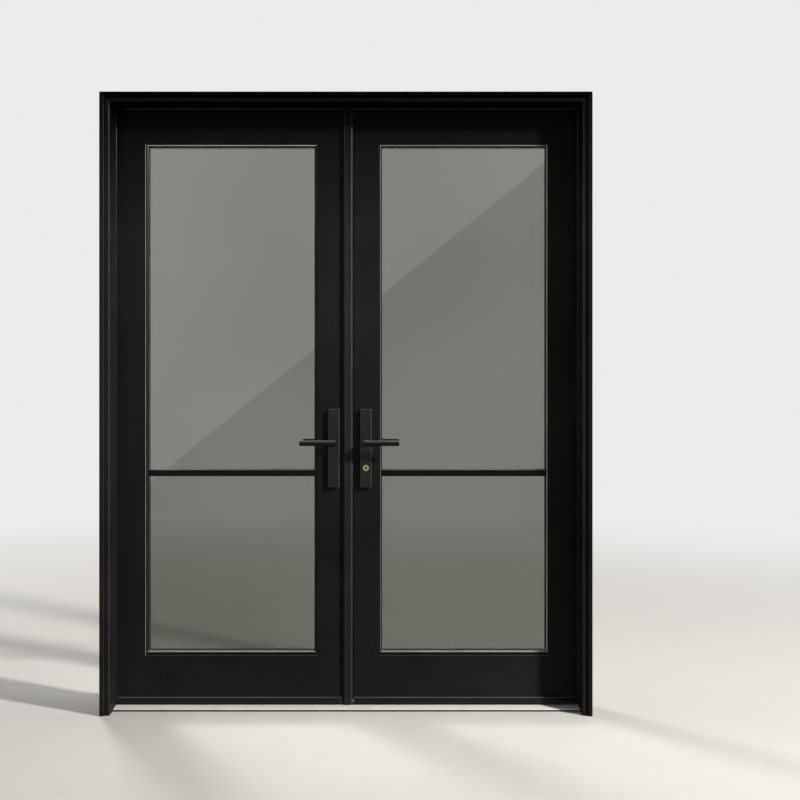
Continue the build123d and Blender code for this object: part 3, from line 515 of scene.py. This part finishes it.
def turned_brass(name, dark, light):
    """Satin brass with turning marks and a little tarnish."""
    finish = Finish(name, metallic=1.0)
    tarnish = finish.spread(finish.noise(220.0, detail=6.0, rough=0.65), 0.45, 0.7)
    finish.colour(finish.blend(tarnish, light, dark))
    finish.gloss(finish.spread(tarnish, 0, 1, 0.22, 0.45))
    finish.bump(finish.noise(3000.0, detail=2.0), 0.00001)
    return finish.material


def clear_glass(name):
    """Sun-control glass: clear, lightly toned, a shade deeper in some places than in others."""
    finish = Finish(name)
    finish.gloss(0.0)
    finish.shader.inputs["Transmission Weight"].default_value = 1.0
    finish.shader.inputs["IOR"].default_value = 1.5
    shade = finish.spread(finish.noise(0.9, detail=1.0), 0.3, 0.7)
    finish.colour(finish.blend(shade, (0.40, 0.415, 0.385), (0.45, 0.465, 0.435)))
    return finish.material


# Each piece's finish, by words in the pieces' names


def frame_finishes():
    """The finishes of the frame and of the sill in it."""
    upright = brushed_paint(
        "frame_paint_upright", "Z", ((0.0060, 0.0061, 0.0063), (0.0090, 0.0091, 0.0094)), 0.03, (0.035, 0.035, 0.035)
    )
    # The right jamb gets a darker copy of the upright paint: painted shade
    shaded = brushed_paint(
        "right_jamb_painted_shade", "Z", ((0.0030, 0.0030, 0.0031), (0.0050, 0.0050, 0.0052)), 0.02, (0.02, 0.02, 0.02)
    )
    # The head's paint is much darker than the jambs': painted shade
    crosswise = brushed_paint(
        "head_paint_painted_shade", "X", ((0.0020, 0.0020, 0.0021), (0.0032, 0.0032, 0.0033)), 0.0, (0.004, 0.004, 0.004)
    )
    seal = rubber("seal_rubber")
    base = dull_plastic("sill_composite", (0.012, 0.012, 0.012), (0.020, 0.020, 0.019))
    return {
        "left_jamb": upright,
        "right_jamb": shaded,
        "head_jamb": crosswise,
        "stop_strips": upright,
        "sill_base": base,
        "sill_cap": base,
        "sill_deck": mill_aluminium("sill_aluminium_drawn"),
        "weatherstrip": seal,
        "sweep_seal": seal,
        "meeting_seal": seal,
    }


def leaf_finishes():
    """The finishes of the leaves, their beads and their glass."""
    tones = ((0.0062, 0.0062, 0.0063), (0.0092, 0.0092, 0.0094))
    upright = brushed_paint("leaf_paint_upright", "Z", tones, 0.02)
    crosswise = brushed_paint("leaf_paint_crosswise", "X", tones, 0.02)
    return {
        "hinge_stile": upright,
        "lock_stile": upright,
        "top_rail": crosswise,
        "bottom_rail": crosswise,
        "drip_strip": crosswise,
        "astragal": brushed_paint(
            "astragal_paint", "Z", ((0.0105, 0.0105, 0.0107), (0.0145, 0.0145, 0.0148)), 0.03
        ),
        "beads": plain_strip("strip_black"),
        "glazing_bars": dusty_highlighted_bar("bar_black"),
        "passive_outer_beads": highlighted_bead("passive_bead_black", "passive_outer_beads", PASSIVE_LINES),
        "active_outer_beads": highlighted_bead("active_bead_black", "active_outer_beads", ACTIVE_LINES),
        "panes": clear_glass("pane_glass"),
        "pane_spacer": dull_plastic("spacer_black", (0.010, 0.010, 0.010), (0.016, 0.016, 0.016)),
    }


def furniture_finishes():
    """The finishes of the hinges, plates, levers, locks and bolts."""
    coat = powder_coat(
        "plate_coat", (0.0060, 0.0060, 0.0062), (0.0085, 0.0085, 0.0087), 0.13, (0.06, 0.06, 0.06), 0.18
    )
    hinge = powder_coat(
        "hinge_coat", (0.0080, 0.0080, 0.0080), (0.0120, 0.0120, 0.0120), 0.25, (0.012, 0.012, 0.012), 0.34
    )
    lever = handled_black("lever_black")
    upright = brushed_steel("steel_upright", "Z")
    crosswise = brushed_steel("steel_crosswise", "X")
    return {
        "hinge_pins": hinge,
        "leaf_hinges": hinge,
        "frame_hinges": hinge,
        "plate": coat,
        "lever": lever,
        "thumbturn": lever,
        "faceplate": upright,
        "lock_case": upright,
        "bolt": upright,
        "strike": upright,
        "astragal_strike": upright,
        "strikes": crosswise,
        "latch_bolt": crosswise,
        "deadbolt": crosswise,
        "spindle": crosswise,
        "key_cylinder": turned_brass("cylinder_brass", (0.20, 0.15, 0.08), (0.44, 0.37, 0.22)),
        "key_plug": turned_brass("plug_brass", (0.07, 0.055, 0.035), (0.16, 0.13, 0.085)),
    }


def finish_nodes(finishes):
    """Gives each CAD node the finish of the longest word that is in its name."""
    for name, node in NODES.items():
        word = max((word for word in finishes if word in name), key=len)
        for slot in node.material_slots:
            slot.material = finishes[word]
        if "panes" in name:
            node.visible_shadow = False


# Softened edges

ARRIS = 0.0012
BEAD_ARRIS = 0.0008
WELD_REACH = 0.00001

# The angle in degrees above which an edge is softened: on square-cut pieces, and on bevelled ones
SQUARE_CUT = 50
BEVELLED = 30


def soften_edges(name, width, edge, angle=SQUARE_CUT):
    """Takes the sharpness off a CAD node's edges, which get a finish of their own."""
    node = NODES[name]
    weld = node.modifiers.new("join_corners", "WELD")
    weld.merge_threshold = WELD_REACH
    soft = node.modifiers.new("soft_edges", "BEVEL")
    soft.width = width
    soft.segments = 2
    soft.limit_method = "ANGLE"
    soft.angle_limit = math.radians(angle)
    soft.harden_normals = True
    node.data.materials.append(edge)
    soft.material = len(node.material_slots) - 1


def soften_doors():
    """Softens the arrises of the frame, the outer beads, the drip strips and the astragal, and gives them painted
    highlights.
    """
    # Edge colours: painted highlights, palest on the stops; the head's is a darker copy as painted shade
    jamb = highlighted_edge("jamb_edge_highlight", (0.02, 0.02, 0.0202), (0.04, 0.04, 0.0402), 0.1)
    stop = highlighted_edge("frame_edge_highlight", (0.10, 0.10, 0.101), (0.20, 0.20, 0.201), 0.12)
    nose = highlighted_edge("astragal_edge_highlight", (0.05, 0.05, 0.0505), (0.10, 0.10, 0.101), 0.2)
    drip = highlighted_edge("drip_edge_highlight", (0.05, 0.05, 0.0505), (0.10, 0.10, 0.101), 0.2)
    head = highlighted_edge("head_edge_painted_shade", (0.003, 0.003, 0.003), (0.006, 0.006, 0.006), 0.02)
    bead = highlighted_edge("bead_edge_highlight", (0.06, 0.06, 0.06), (0.11, 0.11, 0.108), 0.2)
    soften_edges("left_jamb", ARRIS, jamb)
    soften_edges("right_jamb", ARRIS, jamb)
    soften_edges("stop_strips", ARRIS, stop)
    soften_edges("head_jamb", ARRIS, head)
    soften_edges("passive_outer_beads", BEAD_ARRIS, bead, BEVELLED)
    soften_edges("active_outer_beads", BEAD_ARRIS, bead, BEVELLED)
    soften_edges("passive_drip_strip", ARRIS, drip)
    soften_edges("active_drip_strip", ARRIS, drip)
    soften_edges("astragal", ARRIS, nose)


# Screws

# A screw head of radius 1: its flat, the cross driven into it, then how the rim and the neck widen and drop
FLAT_RADIUS = 0.9
CROSS_HALF_WIDTH = 0.13
CROSS_REACH = 0.52
CROSS_DEPTH = 0.4
CROSS_TAPER = 0.75
RIM_AND_NECK = ((1 / FLAT_RADIUS, -0.08), (0.8, -0.5))

# How far a screw's head stands out of its plate, and the turn in radians from one screw's cross to the next
SCREW_PROUD = 0.0002
TURN_TO_NEXT = 1.1

# The radius of each kind of screw's head
PLATE_SCREW = 0.0042
JAMB_SCREW = 0.0056
EDGE_SCREW = 0.0036
SHOOT_SCREW = 0.0034

# The middle of the leaves' thickness, front to back
LEAF_MIDDLE = 0.061

# Hinges: their middles' heights, each screw's height from there and its Y, and the two plates' faces left and right
HINGE_HEIGHTS = (0.212, 0.88533, 1.55867, 2.232)
HINGE_ZIGZAG = ((-0.038, 0.072), (-0.013, 0.057), (0.013, 0.072), (0.038, 0.057))
FRAME_HINGE_FACE = 0.943
LEAF_HINGE_FACE = 0.940

# Jambs: how far left and right their screws sit, in countersinks
JAMB_SCREW_SEAT = 0.9434
JAMB_SCREW_HEIGHTS = (0.33, 0.93, 1.53, 2.13)

# Inside plates: their faces' Y and their middles' X
INNER_PLATE_FACE = 0.0995
INNER_PLATE_HEIGHTS = (0.916, 1.176)
PASSIVE_PLATE_MIDDLE = -0.053
ACTIVE_PLATE_MIDDLE = 0.076

# The lock's faceplate in the active leaf's edge and its strike in the astragal: their faces' X
FACEPLATE_FACE = 0.025
FACEPLATE_HEIGHTS = (0.9195, 1.1205)
STRIKE_FACE = 0.0215
STRIKE_HEIGHTS = (0.9385, 1.0875)

# The shoot bolts' strikes in head and sill: the screws' X, and the strikes' faces
SHOOT_STRIKE_SCREWS = (-0.033, 0.001)
HEAD_UNDERSIDE = 2.425
SILL_CAP_TOP = 0.013


def verts_of(geometry):
    """The vertices of what an operator made."""
    return [item for item in geometry if isinstance(item, bmesh.types.BMVert)]


def screw_head():
    """A flat screw head of radius 1 with a cross recess, facing up, with its top at the origin."""
    bm = bmesh.new()
    bmesh.ops.create_circle(bm, cap_ends=True, segments=24, radius=FLAT_RADIUS)
    for reach in (-CROSS_REACH, -CROSS_HALF_WIDTH, CROSS_HALF_WIDTH, CROSS_REACH):
        for axis in (Vector((1, 0, 0)), Vector((0, 1, 0))):
            bmesh.ops.bisect_plane(
                bm, geom=bm.verts[:] + bm.edges[:] + bm.faces[:], plane_co=axis * reach, plane_no=axis
            )
    arms = []
    for face in bm.faces:
        near, far = sorted(abs(value) for value in face.calc_center_median().xy)
        if near < CROSS_HALF_WIDTH and far < CROSS_REACH:
            arms.append(face)
    sunk = verts_of(bmesh.ops.extrude_face_region(bm, geom=arms)["geom"])
    bmesh.ops.translate(bm, verts=sunk, vec=(0, 0, -CROSS_DEPTH))
    bmesh.ops.scale(bm, verts=sunk, vec=(CROSS_TAPER, CROSS_TAPER, 1))
    for widen, drop in RIM_AND_NECK:
        rim = [edge for edge in bm.edges if edge.is_boundary]
        ring = verts_of(bmesh.ops.extrude_edge_only(bm, edges=rim)["geom"])
        bmesh.ops.scale(bm, verts=ring, vec=(widen, widen, 1))
        bmesh.ops.translate(bm, verts=ring, vec=(0, 0, drop))
    bmesh.ops.holes_fill(bm, edges=[edge for edge in bm.edges if edge.is_boundary])
    bmesh.ops.recalc_face_normals(bm, faces=bm.faces)
    head = bpy.data.meshes.new("screw_head")
    bm.to_mesh(head)
    bm.free()
    return head


def screws(name, body, finish, radius, facing, places):
    """One piece with a row of screw heads that all face one way."""
    head = screw_head()
    turn = Vector(facing).to_track_quat("Z", "Y").to_matrix().to_4x4()
    bm = bmesh.new()
    for count, place in enumerate(places):
        before = len(bm.verts)
        bm.from_mesh(head)
        bm.verts.ensure_lookup_table()
        driven = Matrix.Rotation(count * TURN_TO_NEXT, 4, "Z") @ Matrix.Scale(radius, 4)
        bmesh.ops.transform(bm, matrix=Matrix.Translation(place) @ turn @ driven, verts=bm.verts[before:])
    bpy.data.meshes.remove(head)
    piece = add_piece(name, bm, finish)
    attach(piece, body)


def drive_screws(black, steel):
    """Every screw that shows: hinges, jambs, strikes, faceplate and inside plates."""
    spots = [(y, z + dz) for z in HINGE_HEIGHTS for dz, y in HINGE_ZIGZAG]
    for name, body, side in (("left", "passive_leaf", -1), ("right", "active_leaf", 1)):
        on_frame = [(side * (FRAME_HINGE_FACE - SCREW_PROUD), y, z) for y, z in spots]
        on_leaf = [(side * (LEAF_HINGE_FACE + SCREW_PROUD), y, z) for y, z in spots]
        in_jamb = [(side * JAMB_SCREW_SEAT, LEAF_MIDDLE, z) for z in JAMB_SCREW_HEIGHTS]
        screws(f"{name}_frame_hinge_screws", "frame", black, PLATE_SCREW, (-side, 0, 0), on_frame)
        screws(f"{name}_leaf_hinge_screws", body, black, PLATE_SCREW, (side, 0, 0), on_leaf)
        screws(f"{name}_jamb_screws", "frame", steel, JAMB_SCREW, (-side, 0, 0), in_jamb)
    for name, x in (("passive", PASSIVE_PLATE_MIDDLE), ("active", ACTIVE_PLATE_MIDDLE)):
        on_plate = [(x, INNER_PLATE_FACE + SCREW_PROUD, z) for z in INNER_PLATE_HEIGHTS]
        screws(f"{name}_plate_screws", f"{name}_leaf", black, PLATE_SCREW, (0, 1, 0), on_plate)
    in_edge = [(FACEPLATE_FACE - SCREW_PROUD, LEAF_MIDDLE, z) for z in FACEPLATE_HEIGHTS]
    screws("faceplate_screws", "active_leaf", steel, EDGE_SCREW, (-1, 0, 0), in_edge)
    in_strike = [(STRIKE_FACE + SCREW_PROUD, LEAF_MIDDLE, z) for z in STRIKE_HEIGHTS]
    screws("strike_screws", "passive_leaf", steel, EDGE_SCREW, (1, 0, 0), in_strike)
    at_head = [(x, LEAF_MIDDLE, HEAD_UNDERSIDE - SCREW_PROUD) for x in SHOOT_STRIKE_SCREWS]
    screws("head_strike_screws", "frame", steel, SHOOT_SCREW, (0, 0, -1), at_head)
    at_sill = [(x, LEAF_MIDDLE, SILL_CAP_TOP + SCREW_PROUD) for x in SHOOT_STRIKE_SCREWS]
    screws("sill_strike_screws", "frame", steel, SHOOT_SCREW, (0, 0, 1), at_sill)


# Mastic, dark as painted shade under the sill's nose, and the lip of the seals

# The fillet's two legs, and how far it ends short of the sill's ends and above the floor
MASTIC_LEG = 0.0055
MASTIC_END_GAP = 0.0005
MASTIC_OFF_FLOOR = 0.0001


def run_mastic_shade_line(finish):
    """The fillet of dark mastic that seals the foot of the sill's nose between the jambs and stands as painted shade
    under the nose.
    """
    low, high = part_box("sill_deck")
    start = Vector((low[0] + MASTIC_END_GAP, low[1], MASTIC_OFF_FLOOR))
    section = ((0, 0, 0), (0, -MASTIC_LEG, 0), (0, 0, MASTIC_LEG))
    bm = bmesh.new()
    end_face = bm.faces.new([bm.verts.new(start + Vector(point)) for point in section])
    far = verts_of(bmesh.ops.extrude_face_region(bm, geom=[end_face], use_keep_orig=True)["geom"])
    bmesh.ops.translate(bm, verts=far, vec=(high[0] - low[0] - 2 * MASTIC_END_GAP, 0, 0))
    bmesh.ops.recalc_face_normals(bm, faces=bm.faces)
    # A dark piece as painted shade: the shadow line under the sill's nose
    piece = add_piece("sill_mastic_shade_line", bm, finish)
    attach(piece, "frame")


# The lip's radius, how far it shows past the stops, its room above the sill, and how far the weatherstrips lie behind
# the stops' noses
LIP_RADIUS = 0.0022
LIP_PROUD = 0.0018
LIP_OFF_SILL = 0.001
SEAL_SET_BACK = 0.0015


def run_seal_lip(finish):
    """The round lip of the weatherstrips, which shows between the stops and the closed leaves."""
    low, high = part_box("left_weatherstrip")
    near = high[0] + SEAL_SET_BACK
    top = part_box("head_weatherstrip")[0][2] - SEAL_SET_BACK
    foot = low[2] + LIP_OFF_SILL
    crown = top - LIP_PROUD + LIP_RADIUS
    centre = Vector((near + LIP_PROUD - LIP_RADIUS, (low[1] + high[1]) / 2, foot))
    bm = bmesh.new()
    bmesh.ops.create_circle(bm, cap_ends=True, segments=16, radius=LIP_RADIUS)
    bmesh.ops.translate(bm, verts=bm.verts, vec=centre)
    edges = bm.edges[:]
    for turn in ("first_mitre", "second_mitre", "foot"):
        grown = bmesh.ops.extrude_edge_only(bm, edges=edges)["geom"]
        edges = [item for item in grown if isinstance(item, bmesh.types.BMEdge)]
        for vert in verts_of(grown):
            if turn == "first_mitre":
                vert.co.z = crown - (vert.co.x - centre.x)
            elif turn == "second_mitre":
                vert.co.x = -vert.co.x
            else:
                vert.co.z = foot
    bmesh.ops.contextual_create(bm, geom=edges)
    bmesh.ops.recalc_face_normals(bm, faces=bm.faces)
    piece = add_piece("seal_lip", bm, finish)
    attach(piece, "frame")


stand_camera()
pale_world()
hang_lamps()
lay_floor()
finishes = frame_finishes() | leaf_finishes() | furniture_finishes()
finish_nodes(finishes)
soften_doors()
black_screw = powder_coat(
    "black_screw", (0.010, 0.010, 0.010), (0.016, 0.016, 0.016), 0.4, (0.016, 0.016, 0.016), 0.30
)
drive_screws(black_screw, finishes["strike"])
run_mastic_shade_line(finishes["weatherstrip"])
run_seal_lip(glossy_rubber("seal_skin"))

bpy.context.scene.view_settings.view_transform = "Standard"
